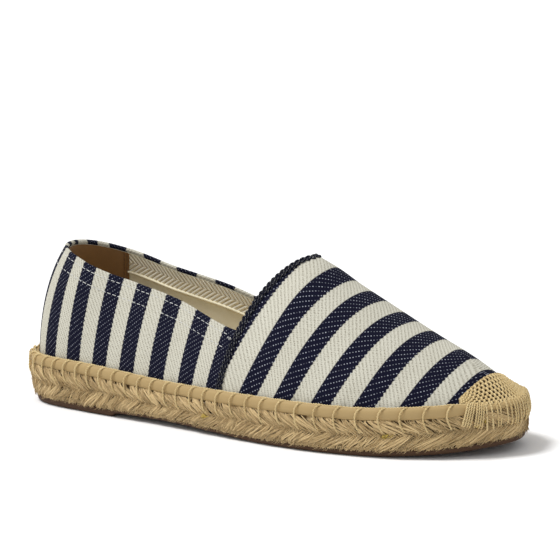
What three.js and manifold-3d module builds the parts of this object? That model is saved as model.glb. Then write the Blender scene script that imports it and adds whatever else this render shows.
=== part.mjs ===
// Espadrille, right shoe. Millimetres, +X toward the toe, +Y to the wearer's left (medial), +Z up.
// Origin: centre of the bounding box in X and Y, floor at z = 0.
import * as THREE from 'three';
import { mergeVertices } from 'three/addons/utils/BufferGeometryUtils.js';
import Module from 'manifold-3d';
const wasm = await Module(); wasm.setup();
const { Manifold, Mesh: SolidMesh } = wasm;

// ---------------------------------------------------------------- named sizes
const TOE = 250;             // toe tip, from the heel seam of the upper
const GAP = 0.3;             // clearance where two curved pieces meet
const WALL = 1.9;            // upper, canvas with its lining, measured at the foot
const UPPER_INSET = 2.9;     // upper's foot, in from the sole's edge, ahead of the heel
const CROWN_THIN = 1.12;     // how much of a depth counts at the crown
const RAND_HEIGHT = 5.0;
const RAND_EDGE = 0.5;       // rand's outer face, in from the sole's edge
const HEEL_RUBBER = 3.6;     // outsole sheet over the heel
const RUBBER = 2.6;          // and over the forefoot
const CAP_THICK = 1.6;       // toe cap
const CAP_CUT = 236.5;       // toe cap's rear edge on the crown
const CAP_LEAN = 0.49;       // how far that edge leans forward for each mm of height
const CAP_UNDERLAP = 3;      // how far the form that hollows the cap runs below it
const CUT_BOX = { long: 120, wide: 160 };
const INSOLE_THICK = 2.0;
const INSOLE_EDGE = 0.7;     // insole's edge, in from the upper's inner face
const THROAT_FOOT = 121.6;   // vamp seam at the rand
const THROAT_TOP = 150.0;    // vamp seam at the crown
const BREAST = 60.0;         // front of the heel pad
const BREAST_RUN = 1.5;      // length of the step there
const TOE_SPRING = 4.6;
const SAME_POINT = 2e4;      // points within 1/20000 mm are one vertex
const HALVINGS = 45;         // steps of each search by halves

// sole outline, clockwise from the heel back as seen from above: y < 0 lateral, y > 0 medial
const OUTLINE = [
  { x: -2, y: 0, at: 'heel back' },
  { x: 7.5, y: -21.5, at: 'heel corner' },
  { x: 35, y: -29.4, at: 'heel side' },
  { x: 95, y: -35, at: 'waist' },
  { x: 160, y: -42.8, at: 'ball' },
  { x: 205, y: -37.4, at: 'little toe' },
  { x: 237, y: -19.6, at: 'toe corner' },
  { x: 250, y: 0.4, at: 'toe tip' },
  { x: 243, y: 21.4, at: 'big toe corner' },
  { x: 215, y: 34.4, at: 'big toe' },
  { x: 175, y: 41, at: 'ball' },
  { x: 105, y: 28, at: 'waist' },
  { x: 35, y: 30, at: 'heel side' },
  { x: 7.5, y: 21.5, at: 'heel corner' },
];
const TIP = OUTLINE.findIndex(p => p.at === 'toe tip');

// heights along the shoe (x from the heel back)
const TREAD = [
  { x: 0, z: 0 },
  { x: BREAST, z: 0 },
  { x: BREAST + BREAST_RUN, z: 1.5 },
  { x: 90, z: 1.9 },
  { x: 120, z: 1.1 },
  { x: 150, z: 0 },
  { x: 196, z: 0 },
  { x: 225, z: 1.5 },
  { x: TOE, z: TOE_SPRING },
];
const FLOORLINE = [
  { x: 0, z: 0 },
  { x: 150, z: 0 },
  { x: 190, z: 0 },
  { x: 225, z: 1.6 },
  { x: TOE, z: TOE_SPRING },
];
const RUBBER_TOP = [
  { x: 0, z: HEEL_RUBBER },
  { x: 40, z: HEEL_RUBBER },
  { x: 90, z: HEEL_RUBBER },
  { x: 150, z: RUBBER },
  { x: TOE, z: RUBBER },
];
const JUTE_TOP = [
  { x: 0, z: 17.6 },
  { x: 40, z: 17.0 },
  { x: 100, z: 14.4 },
  { x: 160, z: 14.9 },
  { x: TOE, z: 14.9 },
];
const CROWN = [
  { x: 0, z: 85.4 },
  { x: 80, z: 85.4 },
  { x: THROAT_TOP, z: 74.8 },
  { x: 167, z: 64.6 },
  { x: 200, z: 47.4 },
  { x: 225, z: 37.4 },
  { x: TOE, z: 28.4 },
];
const COLLAR = [              // medial: how much higher that side's edge is
  { x: 0, z: 73.2, medial: 0 },
  { x: 15, z: 71.6, medial: 0 },
  { x: 22, z: 69.9, medial: 0 },
  { x: 50, z: 61.9, medial: 1.3 },
  { x: 90, z: 54.0, medial: 1.4 },
  { x: 131, z: 43.6, medial: 1.0 },
  { x: 150, z: 43.3, medial: 1.0 },
];
const UPPER_FOOT = [          // the upper's foot, in from the sole's edge
  { x: 0, inset: 4.7 },
  { x: 20, inset: 3.8 },
  { x: 50, inset: UPPER_INSET },
  { x: TOE, inset: UPPER_INSET },
];
const FLARE = [               // how far the sole's wall leans in toward the floor
  { x: 0, inset: 2.4 },
  { x: 15, inset: 2.0 },
  { x: 60, inset: 0.4 },
  { x: 225, inset: 0.4 },
  { x: TOE, inset: 1.0 },
];

// the upper's cross sections, a row per section: x at the foot, where the section's own line
// reaches the crown (spine, side), and its fullness across (a) and upward (b)
const SECTIONS = [
  { x: 0, spine: 36, side: 0, a: 1.95, b: 2.1 },
  { x: 30, spine: 50, side: 0, a: 1.95, b: 2.1 },
  { x: 60, spine: 78, side: 0, a: 1.6, b: 1.5 },
  { x: THROAT_FOOT, spine: THROAT_TOP, side: 1, a: 1.55, b: 1.42 },
  { x: 150, spine: 167.5, side: 2, a: 2.1, b: 1.32 },
  { x: 190, spine: 196, side: 3, a: 2.3, b: 1.24 },
  { x: 220, spine: 211, side: 4, a: 2.05, b: 1.36 },
  { x: 240, spine: 217, side: 3.5, a: 2, b: 1.4 },
  { x: TOE, spine: 220, side: 2.5, a: 2, b: 1.4 },
];

// ---------------------------------------------------------------- curves
// monotone cubic through rows [{x, key}], flat beyond the ends
function curve(rows, key) {
  const X = rows.map(r => r.x);
  const Y = rows.map(r => r[key]);
  const last = X.length - 1;
  const h = X.slice(1).map((x, i) => x - X[i]);
  const d = Y.slice(1).map((y, i) => (y - Y[i]) / h[i]);
  const slope = [d[0]];
  for (let i = 1; i < last; i++) {
    const w1 = 2 * h[i] + h[i - 1];
    const w2 = h[i] + 2 * h[i - 1];
    slope.push(d[i - 1] * d[i] <= 0 ? 0 : (w1 + w2) / (w1 / d[i - 1] + w2 / d[i]));
  }
  slope.push(d[last - 1]);
  return x => {
    if (x <= X[0]) return Y[0];
    if (x >= X[last]) return Y[last];
    const i = X.findIndex((start, k) => x <= X[k + 1]);
    const t = (x - X[i]) / h[i];
    const t2 = t * t;
    const t3 = t2 * t;
    return (2 * t3 - 3 * t2 + 1) * Y[i] + (t3 - 2 * t2 + t) * h[i] * slope[i]
      + (3 * t2 - 2 * t3) * Y[i + 1] + (t3 - t2) * h[i] * slope[i + 1];
  };
}
const tread = curve(TREAD, 'z');
const floorline = curve(FLOORLINE, 'z');
const rubberOver = curve(RUBBER_TOP, 'z');
const juteOver = curve(JUTE_TOP, 'z');
const crown = curve(CROWN, 'z');
const flare = curve(FLARE, 'inset');
const upperInset = curve(UPPER_FOOT, 'inset');
const collarEdge = curve(COLLAR, 'z');
const medialRise = curve(COLLAR, 'medial');
const spine = curve(SECTIONS, 'spine');
const spineSide = curve(SECTIONS, 'side');
const fullA = curve(SECTIONS, 'a');
const fullB = curve(SECTIONS, 'b');
const rubberTop = x => floorline(x) + rubberOver(x);
const juteTop = x => floorline(x) + juteOver(x);
const collar = (side, x) => collarEdge(x) + (side > 0 ? medialRise(x) : 0);

// the largest number from lo to hi for which below(number) still holds
function search(lo, hi, below) {
  for (let k = 0; k < HALVINGS; k++) {
    const half = (lo + hi) / 2;
    if (below(half)) lo = half;
    else hi = half;
  }
  return lo;
}

// closed smooth outline through the rows above (periodic cubic by chord length)
class Outline {
  constructor(rows) {
    this.P = rows.map(p => [p.x, p.y]);
    this.n = rows.length;
    this.h = this.P.map((a, i) => Math.hypot(this.next(i)[0] - a[0], this.next(i)[1] - a[1]));
    this.T = [0];
    for (const h of this.h) this.T.push(this.T[this.T.length - 1] + h);
    this.total = this.T[this.n];
    this.tip = this.T[TIP];
    this.M = this.P.map(() => [0, 0]);                     // second derivatives, relaxed to rest
    const sweeps = 200;
    for (let k = 0; k < sweeps; k++) {
      for (let i = 0; i < this.n; i++) this.relax(i);
    }
  }
  next(i) {
    return this.P[(i + 1) % this.n];
  }
  relax(i) {
    const p = (i + this.n - 1) % this.n;
    const q = (i + 1) % this.n;
    for (const c of [0, 1]) {
      const turn = (this.P[q][c] - this.P[i][c]) / this.h[i] - (this.P[i][c] - this.P[p][c]) / this.h[p];
      const pull = this.h[p] * this.M[p][c] + this.h[i] * this.M[q][c];
      this.M[i][c] = (6 * turn - pull) / (2 * (this.h[p] + this.h[i]));
    }
  }
  at(t, c) {                                               // value and slope of one coordinate
    const turned = ((t % this.total) + this.total) % this.total;
    const found = this.T.findIndex((start, k) => turned <= this.T[k + 1]);
    const i = found < 0 ? this.n - 1 : found;
    const q = (i + 1) % this.n;
    const h = this.h[i];
    const A = (this.T[i + 1] - turned) / h;
    const B = 1 - A;
    const [m0, m1] = [this.M[i][c], this.M[q][c]];
    return {
      v: A * this.P[i][c] + B * this.P[q][c] + ((A ** 3 - A) * m0 + (B ** 3 - B) * m1) * h * h / 6,
      d: (this.P[q][c] - this.P[i][c]) / h - (3 * A * A - 1) / 6 * h * m0 + (3 * B * B - 1) / 6 * h * m1,
    };
  }
  point(t, inset = 0) {                                    // the loop turns so that inward is to its left
    const X = this.at(t, 0);
    const Y = this.at(t, 1);
    const l = Math.hypot(X.d, Y.d);
    return [X.v - inset * Y.d / l, Y.v + inset * X.d / l];
  }
}
const outline = new Outline(OUTLINE);

// stations: the same number on each side, one of them exactly at the throat seam
const BACK = 20;
const FRONT = 26;
const N = BACK + FRONT;
const EVEN_BACK = 0.65;      // how evenly the stations lie behind the seam; the rest crowd to the heel
const EVEN_FRONT = 0.55;     // and ahead of it; the rest crowd to the toe
function stations(side) {
  const end = side < 0 ? 0 : outline.total;                // this side's end of the loop at the heel
  const at = f => end + f * (outline.tip - end);
  const reach = (x, inset) => search(0, 1, f => outline.point(at(f), inset)[0] < x);
  const throat = reach(THROAT_FOOT, UPPER_INSET);
  const list = [];
  for (let i = 0; i <= N; i++) {
    const back = i / BACK;
    const ahead = (i - BACK) / FRONT;
    const behind = EVEN_BACK * back + (1 - EVEN_BACK) * (1 - Math.cos(Math.PI / 2 * back));
    const before = EVEN_FRONT * ahead + (1 - EVEN_FRONT) * Math.sin(Math.PI / 2 * ahead);
    list.push(i <= BACK ? throat * behind : throat + (1 - throat) * before);
  }
  const breast = list.findIndex(f => f > reach(BREAST - BREAST_RUN, 0));
  list[breast] = reach(BREAST, 0);                         // one each side of the heel's step
  list[breast + 1] = reach(BREAST + BREAST_RUN, 0);
  const places = list.map(at);
  places[0] = 0;                                           // both sides share the end columns
  places[N] = outline.tip;
  return places;
}
const LATERAL = stations(-1);
const MEDIAL = stations(1);
const edge = (side, i, inset) => outline.point((side < 0 ? LATERAL : MEDIAL)[i], inset);
const foot = (side, i, depth) => edge(side, i, upperInset(edge(side, i, 0)[0]) + depth);
const midX = i => (foot(-1, i, 0)[0] + foot(1, i, 0)[0]) / 2;

// every station's value of make(i), from one station to the last
function along(make, from = 0) {
  return Array.from({ length: N + 1 - from }, (_, k) => make(from + k));
}

// ---------------------------------------------------------------- the upper's own surface
// depth: mm in from the outer face (negative = outside it); th: 0 at the foot, 90 deg at the crown
function surface(side, i, th, depth) {
  const F = foot(side, i, depth);
  const m = midX(i);
  const S = [spine(m), spineSide(m)];
  const g = Math.max(0, Math.cos(th)) ** (2 / fullA(m));
  const k = Math.sin(th) ** (2 / fullB(m));
  const [x, y] = [0, 1].map(c => S[c] + g * (F[c] - S[c]));
  const z0 = juteTop(foot(side, i, 0)[0]) + GAP;
  return [x, y, z0 + (crown(x) - CROWN_THIN * depth - z0) * k];
}
function thetaAtHeight(side, i, depth, height) {           // mm above the foot
  const z = surface(side, i, 0, depth)[2] + height;
  return search(0, Math.PI / 2, th => surface(side, i, th, depth)[2] < z);
}
function thetaAtCollar(side, i, depth) {
  return search(0, Math.PI / 2, th => {
    const p = surface(side, i, th, depth);
    return p[2] < collar(side, p[0]);
  });
}

// ---------------------------------------------------------------- mesh helpers
const square = (p, q) => (p[0] - q[0]) ** 2 + (p[1] - q[1]) ** 2 + (p[2] - q[2]) ** 2;

class Build {
  constructor() {
    this.v = [];
    this.f = [];
    this.key = new Map();
  }
  point(p) {                                               // shared points become one vertex
    const k = p.map(c => Math.round(c * SAME_POINT)).join();
    if (!this.key.has(k)) {
      this.key.set(k, this.v.length);
      this.v.push(p);
    }
    return this.key.get(k);
  }
  tri(a, b, c) {
    const t = [this.point(a), this.point(b), this.point(c)];
    if (t[0] !== t[1] && t[1] !== t[2] && t[2] !== t[0]) this.f.push(t);
  }
  quad(a, b, c, d, flip) {                                 // cut along its shorter diagonal
    const halves = square(a, c) < square(b, d) ? [[a, b, c], [a, c, d]] : [[a, b, d], [b, c, d]];
    for (const [p, q, r] of halves) {
      if (flip) this.tri(p, r, q);
      else this.tri(p, q, r);
    }
  }
  grid(rows, flip = false) {                               // facing by the right hand, or flipped
    for (let j = 0; j + 1 < rows.length; j++) {
      for (let i = 0; i + 1 < rows[j].length; i++) {
        this.quad(rows[j][i], rows[j][i + 1], rows[j + 1][i + 1], rows[j + 1][i], flip);
      }
    }
  }
  get manifold() {
    const mesh = new SolidMesh({
      numProp: 3,
      vertProperties: new Float32Array(this.v.flat()),
      triVerts: new Uint32Array(this.f.flat()),
    });
    mesh.merge();
    return new Manifold(mesh);
  }
  static from(solid) {                                     // a manifold solid as a Build
    const m = solid.getMesh();
    const made = new Build();
    const triple = (list, i, step) => [...list.subarray(i * step, i * step + 3)];
    made.v = Array.from({ length: m.numVert }, (_, i) => triple(m.vertProperties, i, m.numProp));
    made.f = Array.from({ length: m.numTri }, (_, i) => triple(m.triVerts, i, 3));
    return made;
  }
}
function solidOf(geometry) {                               // a three.js geometry as a manifold solid
  geometry.deleteAttribute('normal');
  geometry.deleteAttribute('uv');
  const g = mergeVertices(geometry);
  const mesh = { numProp: 3, vertProperties: g.attributes.position.array, triVerts: g.index.array };
  return new Manifold(new SolidMesh(mesh));
}
// a slab that follows the outline, with wall rows from the bottom up: inset, or fromUpper from the
// upper's foot; lean, the share of the flare that it takes; and z(x), its height
function slab(wall) {
  const b = new Build();
  const column = (side, i) => wall.map(w => {
    const inset = w.fromUpper ? upperInset(edge(side, i, 0)[0]) + w.fromUpper : w.inset;
    const p = edge(side, i, inset + (w.lean || 0) * flare(edge(side, i, 0)[0]));
    return [p[0], p[1], w.z(p[0])];
  });
  const lateral = along(i => column(-1, i));
  const medial = along(i => column(1, i));
  b.grid(lateral, true);
  b.grid(medial, false);
  const across = row => along(i => [lateral[i][row], medial[i][row]]);
  b.grid(across(0), false);
  b.grid(across(wall.length - 1), true);
  return b;
}

// ---------------------------------------------------------------- sole
const outsole = slab([
  { inset: 2.0, lean: 1, z: tread },
  { inset: 0.9, lean: 1, z: x => tread(x) + 0.7 },
  { inset: 0.7, lean: 0.85, z: rubberTop },
]);

const JUTE_WALL = [                                        // two plaited tiers with a groove between them
  { inset: 1.5, up: 0 },
  { inset: 0.5, up: 0.1 },
  { inset: 0.1, up: 0.27 },
  { inset: 0.6, up: 0.42 },
  { inset: 1.7, up: 0.5 },
  { inset: 0.5, up: 0.58 },
  { inset: 0.0, up: 0.74 },
  { inset: 0.4, up: 0.9 },
  { inset: 1.3, up: 1 },
];
const juteFoot = x => rubberTop(x) + GAP;
const juteLevel = up => x => juteFoot(x) + (juteTop(x) - juteFoot(x)) * up;
const jute = slab(JUTE_WALL.map(w => ({
  inset: w.inset,
  lean: 0.85 * (1 - w.up),
  z: juteLevel(w.up),
})));

const insole = slab([
  { fromUpper: WALL + INSOLE_EDGE, z: x => juteTop(x) + GAP },
  { fromUpper: WALL + INSOLE_EDGE + 0.2, z: x => juteTop(x) + GAP + INSOLE_THICK * 0.7 },
  { fromUpper: WALL + INSOLE_EDGE + 0.9, z: x => juteTop(x) + GAP + INSOLE_THICK },
]);

// ---------------------------------------------------------------- rand: a closed ring round the upper's foot
const RAND_ROWS = [                                        // out: in from the rand's outer face
  { out: 0.5, up: 0 },
  { out: 0, up: 0.15 },
  { out: 0, up: 0.7 },
  { out: 0.35, up: 0.9 },
  { out: 1.1, up: 1 },
];
const RAND_INNER = [1, 0.75, 0.5, 0.25, 0];                // heights down the face that hugs the upper
function randColumn(side, i) {
  const outer = RAND_ROWS.map(row => {
    const p = edge(side, i, RAND_EDGE + row.out);
    return [p[0], p[1], juteTop(p[0]) + GAP + RAND_HEIGHT * row.up];
  });
  const inner = RAND_INNER.map(up => {
    const th = up ? thetaAtHeight(side, i, -GAP, RAND_HEIGHT * up) : 0;
    return surface(side, i, th, -GAP);
  });
  return [...outer, ...inner, outer[0]];
}
const rand = new Build();
rand.grid(along(i => randColumn(-1, i)), true);
rand.grid(along(i => randColumn(1, i)), false);

// ---------------------------------------------------------------- upper: one hollow solid
const ROWS = 10;                                           // from the foot to the collar's level
const CREST = 9;                                           // from there to the crown
const LAYERS = [0, WALL];                                  // outer and inner face
const cornerTheta = side => LAYERS.map(depth => thetaAtCollar(side, BACK, depth));
const corner = { '-1': cornerTheta(-1), 1: cornerTheta(1) };
function upperColumn(side, i, layer) {
  // ahead of the throat both sides' rows drift to one level, because they share the toe's column
  const level = (corner[-1][layer] + corner[1][layer]) / 2;
  const ahead = (i - BACK) / FRONT;
  const drift = corner[side][layer] * (1 - ahead) + level * ahead;
  const top = i < BACK ? thetaAtCollar(side, i, LAYERS[layer]) : drift;
  const column = [];
  for (let j = 0; j <= ROWS; j++) {
    column.push(surface(side, i, top * j / ROWS, LAYERS[layer]));
  }
  for (let j = 1; j <= CREST && i >= BACK; j++) {
    column.push(surface(side, i, top + (Math.PI / 2 - top) * j / CREST, LAYERS[layer]));
  }
  return column;
}
const upper = new Build();
for (const side of [-1, 1]) {
  const outer = along(i => upperColumn(side, i, 0));
  const inner = along(i => upperColumn(side, i, 1));
  for (const [skin, flip] of [[outer, side < 0], [inner, side > 0]]) {
    upper.grid(skin.map(c => c.slice(0, ROWS + 1)), flip);
    upper.grid(skin.slice(BACK).map(c => c.slice(ROWS)), flip);
  }
  const row = (skin, j, count) => skin.slice(0, count).map(c => c[j]);
  upper.grid([row(outer, 0, N + 1), row(inner, 0, N + 1)], side < 0);                // foot
  upper.grid([row(outer, ROWS, BACK + 1), row(inner, ROWS, BACK + 1)], side > 0);    // collar
  upper.grid([outer[BACK].slice(ROWS), inner[BACK].slice(ROWS)], side > 0);          // throat
}

// ---------------------------------------------------------------- toe cap
const CAP_FIRST = BACK + 12;                               // first station of the forms
const CAP_ROWS = 14;
function toeForm(depth, lift) {
  const b = new Build();
  const column = (side, i) => {
    const low = thetaAtHeight(side, i, depth, lift);
    const at = j => surface(side, i, low + (Math.PI / 2 - low) * j / CAP_ROWS, depth);
    return Array.from({ length: CAP_ROWS + 1 }, (_, j) => at(j));
  };
  const lateral = along(i => column(-1, i), CAP_FIRST);
  const medial = along(i => column(1, i), CAP_FIRST);
  b.grid(lateral, true);
  b.grid(medial, false);
  b.grid(lateral.map((c, k) => [c[0], medial[k][0]]), false);                        // underneath
  const ring = [...lateral[0], ...medial[0].slice(0, -1).reverse()];
  for (let k = 1; k + 1 < ring.length; k++) b.tri(ring[0], ring[k], ring[k + 1]);    // back wall
  return b.manifold;
}
const capOutside = toeForm(-GAP - CAP_THICK, RAND_HEIGHT + GAP);
const capInside = toeForm(-GAP, RAND_HEIGHT - CAP_UNDERLAP);
const capKeep = new THREE.BoxGeometry(CUT_BOX.long, CUT_BOX.wide, CUT_BOX.wide)
  .translate(CUT_BOX.long / 2, 0, 0)
  .rotateY(Math.atan(CAP_LEAN))
  .translate(CAP_CUT, 0, crown(CAP_CUT));
const toeCap = Build.from(capOutside.subtract(capInside).intersect(solidOf(capKeep)));

// ---------------------------------------------------------------- assembly
function middle(axis) {                                    // of the bounding box, along one axis
  const all = [outsole, jute, rand].flatMap(piece => piece.v.map(p => p[axis]));
  return (Math.min(...all) + Math.max(...all)) / 2;
}
const MIDDLE = [middle(0), middle(1)];
function meshOf(name, piece, colour, rough) {
  const place = piece.v.flatMap(p => [p[0] - MIDDLE[0], p[1] - MIDDLE[1], p[2]]);
  const g = new THREE.BufferGeometry();
  g.setAttribute('position', new THREE.Float32BufferAttribute(place, 3));
  g.setIndex(piece.f.flat());
  g.computeVertexNormals();
  const finish = new THREE.MeshStandardMaterial({ color: colour, roughness: rough, metalness: 0 });
  const mesh = new THREE.Mesh(g, finish);
  mesh.name = name;
  return mesh;
}
const shoe = new THREE.Group();
shoe.name = 'espadrille';
shoe.add(
  meshOf('outsole', outsole, 0x4b3223, 0.8),
  meshOf('jute_sole', jute, 0xbea57d, 1),
  meshOf('rand', rand, 0xb99f73, 0.7),
  meshOf('upper', upper, 0xcdc8b9, 0.95),
  meshOf('toe_cap', toeCap, 0xcdb68e, 0.95),
  meshOf('insole', insole, 0xd8ceb4, 0.95),
);
export default shoe;
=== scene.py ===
import math
import bpy
import numpy as np
from numpy import arange, array, clip, concatenate, cos, exp, interp, linspace, pi, sin, stack, where
from mathutils import Matrix


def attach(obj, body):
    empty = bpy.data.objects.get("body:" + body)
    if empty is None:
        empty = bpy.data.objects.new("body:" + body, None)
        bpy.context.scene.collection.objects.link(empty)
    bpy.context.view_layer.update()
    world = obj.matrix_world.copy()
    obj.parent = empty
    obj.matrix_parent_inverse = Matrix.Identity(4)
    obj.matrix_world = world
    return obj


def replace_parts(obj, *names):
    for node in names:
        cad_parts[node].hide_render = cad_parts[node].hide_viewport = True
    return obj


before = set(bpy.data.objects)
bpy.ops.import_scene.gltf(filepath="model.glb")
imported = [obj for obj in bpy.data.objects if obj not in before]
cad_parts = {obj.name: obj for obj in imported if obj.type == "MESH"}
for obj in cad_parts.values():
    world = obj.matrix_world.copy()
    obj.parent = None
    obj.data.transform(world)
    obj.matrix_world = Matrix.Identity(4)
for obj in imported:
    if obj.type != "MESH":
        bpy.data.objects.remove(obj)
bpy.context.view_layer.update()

MM = 0.001
RNG = np.random.default_rng(11)


def table(columns, *rows):
    """Rows with named columns."""
    return [dict(zip(columns.split(), row)) for row in rows]


# --- the shoe's own sizes, in mm
# x runs from the heel to the toe, y to the medial side, z up; FRAME_MIDDLE is the frame's origin there.
FRAME_MIDDLE = (124.229, -0.930)
GAP = 0.3
WALL = 1.9
CROWN_DEPTH = 1.12
UPPER_INSET = 2.9
RAND_HEIGHT = 5.0
TOE = 250
THROAT_FOOT = 121.6
THROAT_TOP = 150.0
BREAST = 60.0
BREAST_RUN = 1.5
TOE_SPRING = 4.6
CAP_CUT = 236.5
CAP_LEAN = 0.49
BACK, FRONT = 20, 26
LAST = BACK + FRONT

OUTLINE = table("x y", (-2, 0), (7.5, -21.5), (35, -29.4), (95, -35), (160, -42.8), (205, -37.4),
                (237, -19.6), (250, 0.4), (243, 21.4), (215, 34.4), (175, 41), (105, 28), (35, 30),
                (7.5, 21.5))
TIP_ROW = 7
TREAD = table("x z", (0, 0), (BREAST, 0), (BREAST + BREAST_RUN, 1.5), (90, 1.9), (120, 1.1), (150, 0),
              (196, 0), (225, 1.5), (TOE, TOE_SPRING))
FLOORLINE = table("x z", (0, 0), (150, 0), (190, 0), (225, 1.6), (TOE, TOE_SPRING))
RUBBER_TOP = table("x z", (0, 3.6), (40, 3.6), (90, 3.6), (150, 2.6), (TOE, 2.6))
JUTE_TOP = table("x z", (0, 17.6), (40, 17.0), (100, 14.4), (160, 14.9), (TOE, 14.9))
CROWN = table("x z", (0, 85.4), (80, 85.4), (THROAT_TOP, 74.8), (167, 64.6), (200, 47.4), (225, 37.4),
              (TOE, 28.4))
COLLAR = table("x z medial", (0, 73.2, 0), (15, 71.6, 0), (22, 69.9, 0), (50, 61.9, 1.3), (90, 54.0, 1.4),
               (131, 43.6, 1.0), (150, 43.3, 1.0))
UPPER_FOOT = table("x inset", (0, 4.7), (20, 3.8), (50, UPPER_INSET), (TOE, UPPER_INSET))
FLARE = table("x inset", (0, 2.4), (15, 2.0), (60, 0.4), (225, 0.4), (TOE, 1.0))
SECTIONS = table("x spine side a b", (0, 36, 0, 1.95, 2.1), (30, 50, 0, 1.95, 2.1), (60, 78, 0, 1.6, 1.5),
                 (THROAT_FOOT, THROAT_TOP, 1, 1.55, 1.42), (150, 167.5, 2, 2.1, 1.32),
                 (190, 196, 3, 2.3, 1.24), (220, 211, 4, 2.05, 1.36), (240, 217, 3.5, 2, 1.4),
                 (TOE, 220, 2.5, 2, 1.4))

# the striped cloth: how far a stripe leans from the rand up, in mm, and which stripe lies where
VAMP_LEAN = table("x lean bend", (THROAT_FOOT, 28.4, 1.0), (137.7, 25.0, 0.88), (155.8, 21.1, 0.84),
                  (174.4, 17.6, 0.78), (192.8, 13.6, 0.62), (212, 10.2, 0.62), (229.5, 6.1, 0.8),
                  (TOE, 0, 1.0))
VAMP_BANDS = table("x band", (115.4, 0), (137.7, 1), (155.8, 2), (174.4, 3), (192.8, 4), (212, 5),
                   (230, 6), (TOE, 7))
QUARTER_LEAN = table("x lateral medial", (0, 10.0, -21.0), (20, 7.5, -11.2), (36, 5.0, -6.3),
                     (47, 4.5, -3.1), (60, 4.0, 0.5), (70, 3.9, 2.8), (90, 3.8, 5.1), (110, 4.4, 6.1),
                     (125, 6.2, 6.3))
# in QUARTER_BANDS x is the way along the foot line from the heel back
QUARTER_BANDS = table("x band", (-29, -3), (-12.6, -2), (0.5, -1), (17, 0), (36.6, 1), (53.1, 2), (69.2, 3),
                      (85.4, 4), (103, 5), (120.5, 6), (136.9, 7), (153.4, 8), (170, 9))
MEDIAL_BAND = -1.15           # the stripes of the medial quarter start this much further round
STRIPE_PITCH = 16.45


# --- curves and the upper's surface
def curve(rows, key):
    """Monotone cubic through the rows, flat beyond their ends."""
    X = array([row["x"] for row in rows], float)
    Y = array([row[key] for row in rows], float)
    h, d = np.diff(X), np.diff(Y) / np.diff(X)
    m = concatenate([d[:1], np.zeros(len(X) - 2), d[-1:]])
    for i in range(1, len(X) - 1):
        if d[i - 1] * d[i] > 0:
            w1, w2 = 2 * h[i] + h[i - 1], h[i] + 2 * h[i - 1]
            m[i] = (w1 + w2) / (w1 / d[i - 1] + w2 / d[i])

    def value(x):
        x = clip(x, X[0], X[-1])
        i = clip(np.searchsorted(X, x, side="right") - 1, 0, len(h) - 1)
        t = (x - X[i]) / h[i]
        return ((2 * t**3 - 3 * t**2 + 1) * Y[i] + (t**3 - 2 * t**2 + t) * h[i] * m[i]
                + (3 * t**2 - 2 * t**3) * Y[i + 1] + (t**3 - t**2) * h[i] * m[i + 1])
    return value


tread, floorline = curve(TREAD, "z"), curve(FLOORLINE, "z")
rubber_over, jute_over = curve(RUBBER_TOP, "z"), curve(JUTE_TOP, "z")
crown, flare, upper_inset = curve(CROWN, "z"), curve(FLARE, "inset"), curve(UPPER_FOOT, "inset")
collar_edge, medial_rise = curve(COLLAR, "z"), curve(COLLAR, "medial")
spine, spine_side = curve(SECTIONS, "spine"), curve(SECTIONS, "side")
full_a, full_b = curve(SECTIONS, "a"), curve(SECTIONS, "b")
vamp_lean, vamp_band = curve(VAMP_LEAN, "lean"), curve(VAMP_BANDS, "band")
vamp_bend, quarter_band = curve(VAMP_LEAN, "bend"), curve(QUARTER_BANDS, "band")
lateral_lean, medial_lean = curve(QUARTER_LEAN, "lateral"), curve(QUARTER_LEAN, "medial")


def rubber_top(x):
    return floorline(x) + rubber_over(x)


def jute_top(x):
    return floorline(x) + jute_over(x)


def jute_foot(x):
    return rubber_top(x) + GAP


class Outline:
    """The sole's outline: a closed periodic cubic, heel back -> lateral side -> toe -> medial side."""

    def __init__(self, rows):
        self.P = array([[row["x"], row["y"]] for row in rows], float)
        n = len(self.P)
        ahead = np.roll(self.P, -1, axis=0)
        self.h = np.linalg.norm(ahead - self.P, axis=1)
        self.T = concatenate([[0], np.cumsum(self.h)])
        self.total, self.tip = self.T[-1], self.T[TIP_ROW]
        slope = (ahead - self.P) / self.h[:, None]
        self.M = np.zeros((n, 2))
        for _ in range(200):
            for i in range(n):
                p, q = i - 1, (i + 1) % n
                r = 6 * (slope[i] - slope[p])
                r -= self.h[p] * self.M[p] + self.h[i] * self.M[q]
                self.M[i] = r / (2 * (self.h[p] + self.h[i]))
        dense = linspace(0, self.total, 4001)
        xy = self.point(dense)
        self.arc = concatenate([[0], np.cumsum(np.linalg.norm(np.diff(xy, axis=0), axis=1))])
        self.dense, self.length = dense, self.arc[-1]

    def point(self, t, inset=0.0):
        t = np.mod(t, self.total)
        i = clip(np.searchsorted(self.T, t, side="right") - 1, 0, len(self.h) - 1)
        q = (i + 1) % len(self.h)
        h = self.h[i][..., None]
        A = (self.T[i + 1][..., None] - t[..., None]) / h
        B = 1 - A
        v = A * self.P[i] + B * self.P[q] + ((A**3 - A) * self.M[i] + (B**3 - B) * self.M[q]) * h**2 / 6
        d = (self.P[q] - self.P[i]) / h - (3 * A**2 - 1) / 6 * h * self.M[i]
        d = d + (3 * B**2 - 1) / 6 * h * self.M[q]
        d = d / np.linalg.norm(d, axis=-1, keepdims=True)
        inward = stack([-d[..., 1], d[..., 0]], -1)
        return v + inward * np.asarray(inset, float)[..., None]

    def at_arc(self, q):
        """The loop's parameter at arc length q from the heel back, measured along the lateral side."""
        return interp(np.mod(q, self.length), self.arc, self.dense)

    def arc_at(self, t):
        return interp(t, self.dense, self.arc)


SOLE = Outline(OUTLINE)


def x_at(q):
    """The outline's x at arc length q from the heel back."""
    return SOLE.point(SOLE.at_arc(q))[..., 0]


def at_level(xy, z):
    return concatenate([xy, z[..., None]], -1)


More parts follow.
